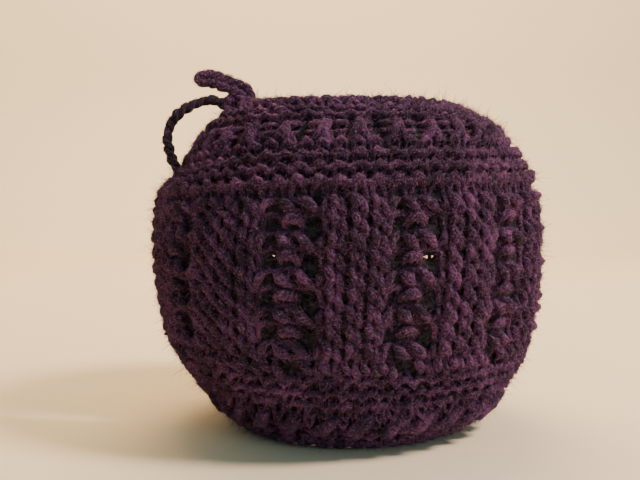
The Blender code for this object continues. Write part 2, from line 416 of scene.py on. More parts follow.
# %% [markdown]
# ## One loop
# A knitted loop comes up from the row below, opens, arches over and goes down again. Seen flat it is a sine
# wave with a second wave that pinches its neck. A knit stitch's legs lie in front and its head and feet
# behind, and a purl stitch is the other way round. One formula with a few numbers for each stitch makes most
# of the chart, so that a change to the knitting is a change to a number.

# %% Kinds of stitches
LOOP_RISE = 0.85
PURL_RISE = 1.22
RIB_RISE = 0.64
RIB_STAND = 1.05
DEPTH = 1.75
RIB, LACE_LEFT, LACE_CENTRE, LACE_RIGHT = 0, 1, 2, 3
STITCH_REPEAT, FIRST_REPEAT_END = 6, 7
PURL_KINDS = ("purl", "edge", "pairs")


def lace_place(stitch):
    """Which wale of the six-stitch repeat a stitch is on. The first repeat is one stitch short."""
    place = (stitch + (2 if stitch < FIRST_REPEAT_END else 1)) % STITCH_REPEAT
    return {5: LACE_LEFT, 0: LACE_CENTRE, 1: LACE_RIGHT}.get(place, RIB)


def is_eyelet_row(row):
    return row["kind"] == "lace" and row["number"] % 2 == 0


def signs_of(row):
    """For each stitch +1 where it is knit and -1 where it is purl, seen from outside."""
    purl_wales = row["kind"] == "lace" and not is_eyelet_row(row)
    return np.array([-1.0 if row["kind"] in PURL_KINDS or (purl_wales and lace_place(i) != RIB) else 1.0
                     for i in range(row["stitches"])])


print("lace wales:", [lace_place(i) for i in range(12)])


# %% Stitch numbers for a row
PLAIN_LOOP = {
    # how far the head leans right, how much narrower the neck is, how far the legs draw together
    "lean": 0.0, "pinch": 0.15, "close": 0.0,
    # left leg higher, in rows; legs dragged left at their tops; left leg in front, in depths
    "skew": 0.0, "slant": 0.0, "roll": 0.0,
    # shorter legs for a smaller number; head and foot aslant, up to the right, in rows
    "short": 0.75, "tilt": 0.0,
    # how far foot and head reach from the row's line, in rows
    "foot": LOOP_RISE, "head": LOOP_RISE,
    # how far they and the legs stand out of the cloth's middle, in depths
    "out_foot": 0.0, "out_leg": 0.0, "out_head": 0.0,
}


def plain_stitches(row):
    """Numbers for plain loops, one value for each stitch, and each stitch's left edge."""
    count = row["stitches"]
    numbers = {name: np.full(count, value) for name, value in PLAIN_LOOP.items()}
    numbers["left"] = np.arange(count, dtype=float)
    return numbers


def give(numbers, where=slice(None), **values):
    """Change some of the numbers, for every stitch or for the ones named."""
    for name, value in values.items():
        numbers[name][where] = value


def stitches_of(index):
    row = ROWS[index]
    own = following = signs_of(row)
    if index + 1 < len(ROWS):
        after = signs_of(ROWS[index + 1])
        following = after[((np.arange(len(own)) + 0.5) / len(own) * len(after)).astype(int)]
    numbers = plain_stitches(row)
    give(numbers, out_foot=-own, out_leg=(own + following) / 2.0, out_head=-following)
    return numbers


def is_veil(row):
    """The first and the last lace row join the lace to the bands, and have no yarn overs."""
    return row["kind"] == "lace" and row["number"] in (0, LACE_ROWS - 1)


def is_purl(index):
    return ROWS[index]["kind"] in PURL_KINDS


# %% [markdown]
# ## Lace stitches
# Lace can't come from the even formula. In the lower row of each pair three loops are gathered: the right one
# is passed over the others, so its legs lie in front as fat slanting strokes. In the upper row the yarn only
# goes over the needle on each side of the gathered loop, thin and deep, and that leaves holes. Each stitch is
# a short table of places that the yarn passes, from its left foot to its right foot.

# %% Routes of the lace stitches
def arched(left, top):
    """A route whose right half mirrors its left half."""
    return (*left, top, *((-along, up, out) for along, up, out in reversed(left)))


GATHERED_LEFT = (
    # along in stitches from the stitch's centre, up in rows, out in depths
    (-0.5, -0.6, -0.4), (-0.52, -0.35, 0.4), (-0.4, -0.02, 0.7), (-0.2, 0.25, 0.1), (0.2, 0.3, -1.0),
    (0.75, 0.3, -1.2), (1.0, 0.2, -1.1), (0.75, 0.0, -0.8), (0.55, -0.25, -0.7), (0.5, -0.6, -0.8))
GATHERED_CENTRE = arched(
    ((-0.5, -0.62, -0.7), (-0.36, -0.42, -0.5), (-0.3, -0.1, -0.5), (-0.2, 0.22, -0.6)),
    (0.0, 0.38, -0.7))
PASSED_OVER = (
    (-0.5, -0.6, -0.9), (-0.85, -0.52, -0.8), (-1.08, -0.4, 0.2), (-1.26, -0.24, 0.9), (-1.45, -0.05, 1.2),
    (-1.64, 0.14, 1.0), (-1.74, 0.32, 0.0), (-1.36, 0.42, -1.0), (-0.82, 0.36, 0.0), (-0.66, 0.16, 1.0),
    (-0.45, -0.05, 1.2), (-0.26, -0.24, 0.9), (-0.08, -0.42, 0.0), (0.08, -0.44, -0.7), (0.22, -0.26, 0.3),
    (0.28, 0.0, 0.9), (0.32, 0.22, 0.4), (0.42, 0.16, -0.8), (0.5, -0.6, -0.7))
YARN_OVER_LEFT = (
    (-0.5, -0.8, -0.7), (-0.54, -0.35, -0.5), (-0.46, 0.15, -0.4), (-0.2, 0.46, -0.2), (0.15, 0.46, -0.7),
    (0.38, 0.25, -1.4), (0.44, -0.25, -1.5), (0.46, -0.6, -1.5))
YARN_OVER_RIGHT = (
    (-0.76, -0.6, -1.5), (-0.74, -0.25, -1.5), (-0.68, 0.25, -1.4), (-0.3, 0.46, -0.7), (0.08, 0.46, -0.2),
    (0.28, 0.15, -0.3), (0.34, -0.35, -0.4), (0.5, -0.8, -0.7))
GATHERING_LOOP = (
    (-0.54, -0.6, -1.5), (-0.56, -0.3, -1.0), (-0.58, -0.06, 0.0), (-0.46, 0.08, 0.8), (-0.2, 0.14, 1.1),
    (0.06, 0.08, 0.8), (0.18, -0.1, 0.0), (0.22, -0.35, -1.0), (0.3, -0.6, -1.5))

# The first lace row: its feet are purl bumps, and its legs are rib lumps, or sink where there is a hole.
FIRST_ROW_LUMPS = (
    (-0.5, -1.22, 0.9), (-0.3, -1.04, 0.6), (-0.12, -0.74, -0.6), (-0.16, -0.26, 0.4), (-0.38, 0.08, 1.1),
    (-0.42, 0.38, 0.2), (0.0, 0.6, -1.0), (0.2, 0.34, -0.5), (0.12, 0.0, 0.5), (0.3, -0.34, 1.0),
    (0.36, -0.74, -0.5), (0.38, -1.04, 0.6), (0.5, -1.22, 0.9))
FIRST_ROW_HOLE = arched(
    ((-0.5, -1.22, 0.9), (-0.3, -1.04, 0.5), (-0.2, -0.7, -0.9), (-0.22, 0.0, -1.6), (-0.2, 0.42, -1.4)),
    (0.0, 0.64, -1.2))
LACE_ROUTES = {
    False: {LACE_LEFT: GATHERED_LEFT, LACE_CENTRE: GATHERED_CENTRE, LACE_RIGHT: PASSED_OVER},
    True: {LACE_LEFT: YARN_OVER_LEFT, LACE_CENTRE: GATHERING_LOOP, LACE_RIGHT: YARN_OVER_RIGHT},
}


# %% Reading a route
SEGMENTS = 14
ROUTE_WEIGHT = np.array([1.0, 0.85, 0.2])   # how much each direction counts in a route's length


def own_route(index, stitch):
    """The table for a stitch that has one, or None for a stitch that follows the formula."""
    row = ROWS[index]
    place = lace_place(stitch)
    if row["kind"] != "lace" or is_purl(index + 1):
        return None
    if is_veil(row):
        return FIRST_ROW_HOLE if place == LACE_CENTRE else FIRST_ROW_LUMPS
    return None if place == RIB else LACE_ROUTES[is_eyelet_row(row)][place]


def at_lengths(curve, lengths, wanted):
    return np.stack([np.interp(wanted, lengths, curve[:, k]) for k in range(3)], -1)


def read_route(route):
    """Read a stitch's route at SEGMENTS even steps, without its last point."""
    curve = smooth_through(route, 12)
    lengths = lengths_along(curve * ROUTE_WEIGHT)
    return at_lengths(curve, lengths, lengths[-1] * np.arange(SEGMENTS) / SEGMENTS)


print("points in a stitch:", len(read_route(PASSED_OVER)))


# %% Purl, pairs, stems and ribs
def purl_route(foot, foot_out, head, head_out):
    """A purl stitch: foot and head lie in front as wide flat arcs, and the legs between them sink."""
    left = ((-0.50, -foot, foot_out), (-0.28, 0.16 - foot, foot_out - 0.3), (-0.17, 0.50 - foot, -0.7),
            (-0.20, 0.0, -1.0), (-0.32, head - 0.50, -0.7), (-0.26, head - 0.16, head_out - 0.3))
    return arched(left, (0.0, head, head_out))


def shape_purl(row, numbers, tilt=0.08):
    """In a purl band heads and feet reach past each other and read as one wavy line."""
    give(numbers, tilt=tilt, foot=PURL_RISE, head=PURL_RISE)


def shape_pairs(row, numbers):
    """Two neighbours lean together under each stem, each with its two legs drawn in."""
    shape_purl(row, numbers, 0.02)
    give(numbers, lean=0.3 - 0.6 * (np.arange(row["stitches"]) % 2))


def shape_stems(row, numbers):
    """Tall tight loops, whose two legs meet as one stem. The lower ones are dragged aslant."""
    give(numbers, close=0.19, pinch=0.02, lean=0.06, skew=0.06, out_leg=1.0, foot=0.85, head=0.85)
    if row["in_round"]:
        give(numbers, close=0.20, lean=0.80, out_leg=1.4, foot=0.95, head=0.95)


def shape_ribs(row, numbers):
    """The legs of a rib stitch are two short lumps, the left one half a row above the right one."""
    where = [i for i in range(row["stitches"]) if lace_place(i) == RIB or is_veil(row)]
    give(numbers, where, close=0.05, pinch=0.09, skew=0.24, slant=0.26, roll=0.15, short=0.55,
         foot=RIB_RISE, head=RIB_RISE)
    numbers["out_leg"][where] *= RIB_STAND
    numbers["out_head"][where] *= RIB_STAND


SHAPES = {"lace": shape_ribs, "pairs": shape_pairs, "stems": shape_stems,
          "purl": shape_purl, "edge": shape_purl}

# %% Where bands meet
# At the cloth's edge, or where a purl band meets another kind of row: reach in rows, and out in depths.
FEET_AT = {None: (0.45, 0.0), "stems": (1.0, 0.6), "lace": (0.75, -1.0)}
HEADS_AT = {None: (0.6, 1.0), "stems": (1.0, 0.3), "lace": (0.8, -1.0)}


def kind_at(index):
    return ROWS[index]["kind"] if 0 <= index < len(ROWS) else None


def shape_band_edges(index, numbers):
    """Where a purl band meets another kind of row its arcs lie lower, or sink behind that row."""
    below, above = kind_at(index - 1), kind_at(index + 1)
    if is_purl(index) and below in FEET_AT:
        numbers["foot"][:], numbers["out_foot"][:] = FEET_AT[below]
    if is_purl(index) and above in HEADS_AT:
        numbers["head"][:], numbers["out_head"][:] = HEADS_AT[above]
    if is_veil(ROWS[index]) and above in PURL_KINDS:
        numbers.update(plain_stitches(ROWS[index]))
        give(numbers, pinch=0.04, close=-0.04, tilt=0.06, foot=RIB_RISE, head=PURL_RISE,
             out_foot=-1.0, out_leg=-0.3, out_head=1.0)


# %% From stitch numbers to a yarn path
SHAKE = np.random.default_rng(7)
SHAKE_SIDEWAYS, SHAKE_UP, SHAKE_OUT = 0.045, 0.05, 0.15


def shaken(count, size):
    """Small random shifts: a value at each foot and head, joined by straight lines."""
    knots = SHAKE.normal(0.0, size, 2 * count + 1)
    return np.interp(np.arange(count * SEGMENTS + 1) / SEGMENTS, np.arange(2 * count + 1) / 2.0, knots)


def row_path(index):
    """The yarn's route through one row, left to right: share of the way along, rows up, and mm out."""
    row = ROWS[index]
    count = row["stitches"]
    numbers = stitches_of(index)
    SHAPES[row["kind"]](row, numbers)
    shape_band_edges(index, numbers)
    # Neighbours share the foot between them.
    foot_out = numbers["out_foot"]
    out_left = np.concatenate([foot_out[:1], (foot_out[1:] + foot_out[:-1]) / 2.0])
    out_right = np.concatenate([out_left[1:], foot_out[-1:]])

    t = np.arange(SEGMENTS) / SEGMENTS
    n = {name: values[:, None] for name, values in numbers.items()}
    once, twice = np.sin(math.tau * t), np.sin(2.0 * math.tau * t)
    rise = (1.0 - np.cos(math.tau * t)) / 2.0
    at_ends = ((1.0 + np.cos(2.0 * math.tau * t)) / 2.0) ** n["short"]
    along = (n["left"] + t + n["pinch"] * twice + n["close"] * once
             + n["lean"] * rise - n["slant"] * (2.0 * rise - 1.0) * (1.0 - at_ends))
    up = -n["foot"] + (n["foot"] + n["head"]) * rise + n["skew"] * once + n["tilt"] * twice
    end = np.where(t < 0.25, out_left[:, None], np.where(t < 0.75, n["out_head"], out_right[:, None]))
    out = at_ends * end + (1.0 - at_ends) * (n["out_leg"] + n["roll"] * once)
    if is_purl(index):
        route = read_route(purl_route(*(numbers[k][0] for k in ("foot", "out_foot", "head", "out_head"))))
        rise = (route[:, 1] + n["foot"]) / (n["foot"] + n["head"])
        along = n["left"] + 0.5 + route[:, 0] + n["lean"] * rise
        up = route[:, 1] + n["tilt"] * twice
        out = np.broadcast_to(route[:, 2], along.shape)
    for i in range(count):
        table = own_route(index, i)
        if table:
            along[i], up[i], out[i] = read_route(table).T
            along[i] += i + 0.5

    along = np.append(along.ravel(), count) + shaken(count, SHAKE_SIDEWAYS)
    up = index + np.append(up.ravel(), -numbers["foot"][-1]) + shaken(count, SHAKE_UP)
    out = np.append(out.ravel(), out_right[-1])
    return along / count, up, DEPTH * out + shaken(count, SHAKE_OUT)


# %% The yarn through a whole band
# Where the yarn stands free in front it lofts, and where it is held between loops it is squeezed thin.
KIND_LOFT = {"edge": 0.76, "stems": 1.05, "pairs": 0.80, "purl": 0.72, "lace": 1.0}
# For each place out of the cloth, in depths: the thickness of the yarn there.
LOFT = ((-1.3, 0.72), (0.0, 0.88), (0.8, 1.18), (1.2, 1.60))
# Where the yarn turns back at a selvedge: out in stitches, up in rows from the row below, and lift in mm.
TURN_OUT = 0.06 * np.array([0.7, 1.0, 0.7])
TURN_UP, TURN_LIFT = np.array([-0.6, -0.35, -0.1]), np.array([-0.4, 0.2, -0.4])


def thickness_at(lift):
    return YARN / MM * from_table(LOFT, lift)


def band_path(first, last):
    """Join rows into one yarn: round and round below the split, back and forth above it.

    Gives the points, how far out of the cloth each one is in depths, and the yarn's thickness there in mm.
    """
    path, lifts, sizes = [], [], []
    for index in range(first, last):
        row = ROWS[index]
        share, up, out = row_path(index)
        loft = KIND_LOFT[row["kind"]]
        back = (index - first) % 2
        if row["in_round"]:
            climb = smooth_step(share, 1.0 - 1.2 / row["stitches"], 1.0) if index + 1 < last else 0.0
            points = in_cloth(share, up_at(up + climb), out, True)
        else:
            points = in_cloth(share, up_at(up), out, False)
            if back:
                points, out = points[::-1], out[::-1]
            if path:
                turn_share = back + (2.0 * back - 1.0) / row["stitches"] * TURN_OUT
                path.append(in_cloth(turn_share, up_at(index - 1 + TURN_UP), TURN_LIFT, False))
                lifts.append(np.zeros(3))
                sizes.append(np.full(3, YARN / MM * loft))
        path.append(points)
        lifts.append(out / DEPTH)
        sizes.append(thickness_at(out / DEPTH) * loft)
    joined = np.vstack(path)
    joined[:, 2] = np.maximum(joined[:, 2], YARN / 2.0 / MM + FLOOR_CLEARANCE)
    return joined, np.concatenate(lifts), np.concatenate(sizes)


# %% [markdown]
# ## Yarn as a tube
# The route is swept with a round section, whose frame is carried along without twisting, so that the tube
# never pinches at a bend. The yarn is a little thick and thin, as wool yarn is.

# %% Frames along a route
def carried_frames(points):
    """Two directions across the route at each point, turned as little as possible from one to the next."""
    route = [Vector(p) for p in points]
    tangents = [(b - a).normalized() for a, b in zip([route[0], *route[:-1]], [*route[1:], route[-1]])]
    side = tangents[0].orthogonal().normalized()
    sides = []
    for tangent in tangents:
        side = (side - tangent * side.dot(tangent)).normalized()
        sides.append(side)
    return np.array(sides), np.cross(tangents, sides)


# %% Sweep a tube
SIDES = 8
UNEVEN = 0.06
UNEVEN_ALONG, UNEVEN_EVERY = 0.07, 7.0      # share of the thickness, mm
PLY_DEPTH = 0.15
END_TAPER = 0.35


def yarn_mesh(name, points, size, material, seed):
    """Sweep the yarn along points, in mm, as a mesh object in metres with a map that runs along it.

    Its two plies wind round each other to the left, so its section is an oval that turns along the yarn.
    """
    rng = np.random.default_rng(seed)
    points = np.asarray(points, float)
    lengths = lengths_along(points)
    stations = np.arange(0.0, lengths[-1] + 9.0, UNEVEN_EVERY)
    thickness = np.interp(lengths, stations, rng.normal(1.0, UNEVEN_ALONG, len(stations)))
    across, upright = carried_frames(points)
    turn = math.tau * np.arange(SIDES) / SIDES
    radius = (size / 2.0 * np.clip(thickness, 0.85, 1.18))[:, None]
    radius = radius * np.clip(rng.normal(1.0, UNEVEN, (len(points), SIDES)), 0.85, 1.15)
    wound = turn + math.tau * lengths[:, None] * MM / PLY_TWIST
    radius = radius * (1.0 + PLY_DEPTH * np.cos(2.0 * wound))
    radius[[0, -1]] *= END_TAPER
    ring = points[:, None] + radius[..., None] * (np.cos(turn)[:, None] * across[:, None]
                                                  + np.sin(turn)[:, None] * upright[:, None])
    # The cosy's own weight presses the hem's yarn flat where it meets the table.
    ring[..., 2] = np.maximum(ring[..., 2], FLOOR_CLEARANCE)
    count = len(points)
    base = np.arange(count - 1)[:, None] * SIDES
    side = np.arange(SIDES)[None, :]
    after = (side + 1) % SIDES
    faces = np.stack([base + side, base + after, base + SIDES + after, base + SIDES + side], -1)
    caps = [list(range(SIDES))[::-1], [(count - 1) * SIDES + k for k in range(SIDES)]]
    mesh = bpy.data.meshes.new(name)
    mesh.from_pydata(ring.reshape(-1, 3) * MM, [], faces.reshape(-1, 4).tolist() + caps)
    low, high = (lengths[:-1] * MM)[:, None], (lengths[1:] * MM)[:, None]
    wrapped = np.empty((*faces.shape, 2))
    wrapped[..., 0] = np.stack([side, side + 1, side + 1, side], -1) / SIDES
    wrapped[..., 1] = np.stack([low, low, high, high], -1)
    ends = np.zeros((2 * SIDES, 2))
    ends[SIDES:, 1] = lengths[-1] * MM
    coords = np.concatenate([wrapped.ravel(), ends.ravel()])
    mesh.uv_layers.new(name="along_yarn").data.foreach_set("uv", coords)
    mesh.validate()
    mesh.shade_smooth()
    mesh.materials.append(material)
    print(f"{name}: {lengths[-1] * MM:.2f} m of yarn, {faces.size // 2} triangles")
    return add_object(name, mesh)


# %% Knit the three bands
bands, routes = [], []


def knit(name, route, lift, size, seed):
    bands.append(yarn_mesh(name, route, size, PLUM_YARN, seed))
    routes.append((route, lift, size))


for number, part in enumerate(("bottom", "lace", "top")):
    knit(f"knit_{part}_band", *band_path(*BAND_ENDS[number:number + 2]), 11 + number)

# %% [markdown]
# ## Firm edges
# The top edge is bound off: each last loop is pulled over the next, which leaves a line of links along it.
# The hem is cast on with two ends, and looks alike. The split's edges are slipped, which leaves longer links,
# one for each two rows. From the side each line reads as two yarns that wind over each other, so that is how
# it is made: single hooked links would cost more and look the same under the nap.

# %% Bound-off rim, cast-on hem and slipped selvedges
RIM_LINKS = 44
EDGE_SWING = 1.2
EDGE_DEPTH = 0.3
LINK_LIFT = (0.4, 0.6)      # its middle and its swing, in depths
SELVEDGE_LINK = 13.0
SELVEDGE_FROM = 41.0
HEM_LINE, RIM_LINE = 0.4, CLOTH_LENGTH - 1.9


def link_line(name, share, up, links, in_round, seed):
    """Two yarns that wind over each other along a line in the cloth, in its outer half."""
    share, up = np.broadcast_arrays(share, up)
    for number in range(2):
        turn = math.pi * (np.linspace(0.0, links, len(up)) + number)
        across = EDGE_SWING * np.sin(turn)
        lift = LINK_LIFT[0] + LINK_LIFT[1] * np.cos(turn)
        if share[0] == share[-1]:
            place, height = share + across / (math.tau * WIDEST_RADIUS), up
        else:
            place, height = share, up + across
        route = in_cloth(place, height, EDGE_DEPTH + EDGE_SWING * np.cos(turn), in_round)
        size = thickness_at(lift)
        route[:, 2] = np.maximum(route[:, 2], 0.5 * size + FLOOR_CLEARANCE)
        knit(f"{name}_{number + 1}", route, lift, size, seed + number)


rim_share = np.linspace(0.0, 1.0, RIM_LINKS * 9 + 1)
link_line("bound_off_rim", rim_share, RIM_LINE, RIM_LINKS, False, 15)
link_line("cast_on_hem", rim_share, HEM_LINE, RIM_LINKS, True, 25)
edge_up = np.arange(SELVEDGE_FROM, CLOTH_LENGTH - 1.0, 1.0)
edge_links = (edge_up[-1] - edge_up[0]) / SELVEDGE_LINK * 2.0
link_line("selvedge_front", 0.0, edge_up, edge_links, False, 17)
link_line("selvedge_back", 1.0, edge_up, edge_links, False, 19)

# %% [markdown]
# ## The ground
# Real loops of chunky yarn press together and hide the inside, but swept tubes leave gaps. So a thin net lies
# in the middle of the cloth, with openings at the lace holes, and only the holes show the hollow.

# %% Ground net
def add_bmesh(name, bm, *materials):
    mesh = bpy.data.meshes.new(name)
    bm.to_mesh(mesh)
    bm.free()
    for material in materials:
        mesh.materials.append(material)
    return add_object(name, mesh)


GROUND_DEPTH = -1.2
GROUND_SUNK = -2.3
HEM_TURNED_OUT = 0.5
GROUND_THICKNESS = 0.5
GROUND_JITTER = 0.09
HOLE_REACH = np.array([1.2, 0.25])      # half a hole's width in stitches and its height in rows
SUNK_REACH = np.array([1.4, 0.45])
CELLS = 2
BAND_ROWS, BAND_STEP, LACE_STEP = 7.5, 0.5, 1.0 / 3.0
GROUND_FOOT, GROUND_SPLIT_FROM = -0.45, 40.0
# Centres of the eyelets, in stitches and rows.
HOLES = np.array([(i + 0.5, index - 0.05) for index, row in enumerate(ROWS)
                  if is_eyelet_row(row) and not is_veil(row)
                  for i in range(row["stitches"]) if lace_place(i) == LACE_CENTRE])


def by_hole(columns, level, reach):
    """Whether places along a level lie within reach of a hole's centre."""
    away = np.abs((HOLES[:, None] - np.stack([columns, np.full(len(columns), level)], -1)) / reach)
    return np.min(np.max(away, axis=-1), axis=0) < 1.0


def build_ground():
    columns = np.arange(0, (WALES - 1) * CELLS + 1) / CELLS
    levels = np.concatenate([np.arange(0.0, BAND_ROWS, BAND_STEP),
                             np.arange(BAND_ROWS, len(ROWS) - 0.5 + 0.01, LACE_STEP)])
    levels[0] = GROUND_FOOT
    bm = bmesh.new()
    rng = np.random.default_rng(9)
    verts = []
    for level in levels:
        in_round = up_at(level) < GROUND_SPLIT_FROM
        jitter = rng.normal(0.0, GROUND_JITTER, (2, len(columns)))
        jitter[0] *= np.minimum(columns, WALES - 1 - columns) > 0.0
        depth = np.where(by_hole(columns, level, SUNK_REACH), GROUND_SUNK, GROUND_DEPTH)
        if level == levels[0]:
            depth = HEM_TURNED_OUT
        share = (columns + 2.0 * jitter[0]) / (WALES - 1.0)
        points = in_cloth(share, up_at(level + jitter[1]), depth, in_round)
        points[:, 2] = np.maximum(points[:, 2], GROUND_THICKNESS / 2.0 + FLOOR_CLEARANCE)
        verts.append([bm.verts.new(p * MM) for p in points])
    centres = (columns[:-1] + columns[1:]) / 2.0
    for level, upper, low, high in zip(levels, levels[1:], verts, verts[1:]):
        for i in np.flatnonzero(~by_hole(centres, (level + upper) / 2.0, HOLE_REACH)):
            bm.faces.new((low[i], low[i + 1], high[i + 1], high[i]))
        if up_at(upper) < GROUND_SPLIT_FROM:
            bm.faces.new((low[-1], low[0], high[0], high[-1]))
    bmesh.ops.delete(bm, geom=[v for v in bm.verts if not v.link_faces], context="VERTS")
    obj = add_bmesh("knit_ground", bm, GROUND_WOOL, INNER_WOOL)
    obj.data.shade_smooth()
    solid = obj.modifiers.new("thickness", "SOLIDIFY")
    solid.thickness = GROUND_THICKNESS * MM
    solid.offset = 0.0
    solid.material_offset = 1
    print("ground net faces:", len(obj.data.polygons))
    return obj


ground = build_ground()

# %% [markdown]
# ## Fibres
# Wool isn't smooth: short fibres lie on the yarn as a nap, and long ones stand off it as a halo that softens
# every edge. Both are thin ribbons in joined meshes, since an exported model keeps a mesh and loses hair
# strands. A nap fibre starts on its yarn's own route; a halo fibre leaves the yarn and bends on its own.

# %% Ribbons
COSY_MIDDLE = np.array([0.0, 0.0, 68.0])
FIBRE_CLEARANCE = 0.35


def ribbons(name, spines, sideways, widths, material):
    """Join thin flat strips, pointed at both ends.

    Spines are (strip, point, xyz) in mm, and there is one width for each point between the ends.
    """
    count, stations = spines.shape[:2]
    half = sideways * widths[None, :, None] / 2.0
    inner = np.stack([spines[:, 1:-1] - half, spines[:, 1:-1] + half], 2).reshape(count, -1, 3)
    verts = np.concatenate([spines[:, :1], inner, spines[:, -1:]], 1)
    per_strip = 2 * stations - 2
    first = (np.arange(count) * per_strip)[:, None]
    root = first + np.array([0, 2, 1])
    tip = first + np.array([per_strip - 3, per_strip - 2, per_strip - 1])
    quads = [first + np.array([k, k + 1, k + 3, k + 2]) for k in range(1, per_strip - 3, 2)]
    faces = [face for part in (root, *quads, tip) for face in part.tolist()]
    mesh = bpy.data.meshes.new(name)
    mesh.from_pydata(verts.reshape(-1, 3) * MM, [], faces)
    mesh.materials.append(material)
    print(f"{name}: {count} fibres, {count * 2 * (stations - 2)} triangles")
    return add_object(name, mesh)


def outward_at(points):
    """Roughly away from the middle of the cosy."""
    return unit((points - COSY_MIDDLE) * np.array([1.0, 1.0, 0.9]))


# %% Nap
NAP_LENGTH = (1.1, 2.6)
NAP_WIDTH = 0.17
NAP_TWIST, NAP_UNTIDY, NAP_ROUND = math.radians(32.0), 0.55, 1.6    # radians: lean, its scatter, reach
NAP_BEND, NAP_DROOP = 0.35, 0.25        # how much a fibre's outer half turns aside, and back to the yarn
FLAT_SCATTER = 0.45


def nap(name, route, lift, thickness, count, seed):
    """Short fibres on a yarn. They lean round it with its twist, but untidily, and lift at their tips."""
    rng = np.random.default_rng(seed)
    weight = np.clip(lift[:-1] + 0.9, 0.0, 1.6)
    pick = rng.choice(len(weight), count, p=weight / weight.sum())
    share = rng.uniform(0.0, 1.0, (count, 1))
    root = route[pick] + share * (route[pick + 1] - route[pick])
    tangent = unit(np.gradient(route, axis=0))[pick]
    outward = outward_at(root)
    outward = unit(outward - (outward * tangent).sum(-1, keepdims=True) * tangent)
    side = np.cross(tangent, outward)
    turn = rng.uniform(-NAP_ROUND, NAP_ROUND, (count, 1))
    radial = np.cos(turn) * outward + np.sin(turn) * side
    around = np.cross(tangent, radial)
    lean = NAP_TWIST + rng.normal(0.0, NAP_UNTIDY, (count, 1))
    heading = (tangent * np.cos(lean) - around * np.sin(lean)) * rng.choice([-1.0, 1.0], (count, 1))
    length = rng.uniform(*NAP_LENGTH, (count, 1))
    radius = thickness[pick][:, None] / 2.0
    lifts = np.stack([rng.uniform(-0.25, 0.05, (count, 1)), rng.uniform(0.05, 0.32, (count, 1)),
                      rng.exponential(0.30, (count, 1)) - 0.05])
    start = root + radial * (radius + lifts[0])
    middle = start + heading * length * 0.5 + radial * (lifts[1] - lifts[0])
    bent = unit(heading + rng.normal(0.0, NAP_BEND, (count, 3)) - radial * NAP_DROOP)
    end = middle + bent * length * 0.5 + radial * lifts[2]
    spine = np.stack([start, middle, end], 1)
    spine[..., 2] = np.maximum(spine[..., 2], FIBRE_CLEARANCE)
    flat = unit(np.cross(heading, radial) + rng.normal(0.0, FLAT_SCATTER, (count, 3)))[:, None]
    return ribbons(name, spine, flat, np.array([NAP_WIDTH]), PLUM_NAP)


# %% Halo
HALO_ROOT, HALO_BEND = 0.42, 0.35       # in yarn thicknesses, and in the fibre's own length
HALO_WIDTHS = np.array([0.11, 0.08])


def halo(name, count, length_range, outward, seed):
    """Longer fibres that leave the yarn and bend on their own."""
    rng = np.random.default_rng(seed)
    points = np.vstack([route for route, _, _ in routes])
    lift = np.concatenate([lift for _, lift, _ in routes])
    tangents = unit(np.vstack([np.gradient(route, axis=0) for route, _, _ in routes]))
    pick = rng.choice(np.flatnonzero(lift > -0.6), count)
    root, tangent = points[pick], tangents[pick]
    away = outward_at(root)
    scatter = unit(rng.normal(0.0, 1.0, (count, 3)))
    direction = unit(outward * away + scatter + 0.6 * tangent * rng.choice([-1.0, 1.0], (count, 1)))
    start = root + unit(away + scatter * 0.8) * YARN / MM * HALO_ROOT
    bend = rng.normal(0.0, 1.0, (count, 3))
    bend -= (bend * direction).sum(1, keepdims=True) * direction
    length = rng.uniform(*length_range, count) * rng.uniform(0.5, 1.0, count)
    share = np.array([0.0, 0.35, 0.70, 1.0])
    spine = (start[:, None] + direction[:, None] * (length[:, None] * share)[..., None]
             + bend[:, None] * (HALO_BEND * length[:, None] * share ** 2)[..., None])
    spine[..., 2] = np.maximum(spine[..., 2], FIBRE_CLEARANCE)
    flat = unit(np.cross(direction, rng.normal(0.0, 1.0, (count, 3))))[:, None]
    return ribbons(name, spine, flat, HALO_WIDTHS, PLUM_FIBRE)


# %% Fibres across the lace holes
PIT_REACH = np.array([1.7, 0.55])       # half a pit's width in stitches and its height in rows


def pit_fibres(name, count, length_range, seed):
    """Fibres of the net and of the yarn round it that cross the lace holes, in their shade."""
    rng = np.random.default_rng(seed)
    place = HOLES[rng.integers(0, len(HOLES), count)] + rng.uniform(-1.0, 1.0, (count, 2)) * PIT_REACH
    depth = rng.uniform(GROUND_SUNK, 0.2, count)
    start = in_cloth(place[:, 0] / (WALES - 1.0), up_at(place[:, 1]), depth, False)
    away = outward_at(start)
    scatter = unit(rng.normal(0.0, 1.0, (count, 3)))
    heading = unit(scatter - 0.8 * (scatter * away).sum(1, keepdims=True) * away)
    length = rng.uniform(*length_range, (count, 1))
    middle = start + heading * length * 0.5 + away * rng.uniform(-0.1, 0.5, (count, 1))
    end = middle + unit(heading + rng.normal(0.0, 0.4, (count, 3))) * length * 0.5
    flat = unit(np.cross(heading, away) + rng.normal(0.0, FLAT_SCATTER, (count, 3)))[:, None]
    return ribbons(name, np.stack([start, middle, end], 1), flat, np.array([NAP_WIDTH]), SHADED_FIBRE)


fuzz = [pit_fibres("wool_in_lace_holes", 8000, (2.0, 5.0), 39)]
EDGE_NAP = (("rim", 2400), ("hem", 2400), ("front", 900), ("back", 900))
NAP_COUNTS = [("bottom", (38000,)), ("lace", (51000, 51000)), ("top", (47000,))]
NAP_COUNTS += [(f"{edge}_{number}", (count,)) for edge, count in EDGE_NAP for number in (1, 2)]
for (part, counts), (route, lift, size) in zip(NAP_COUNTS, routes):
    for number, count in enumerate(counts):
        fuzz.append(nap(f"wool_nap_{part}_{number + 1}", route, lift, size, count, 39 + len(fuzz)))
fuzz.append(halo("wool_halo_short", 22000, (1.8, 4.6), 0.6, 31))
fuzz.append(halo("wool_halo_long", 8000, (4.0, 9.0), 1.0, 32))

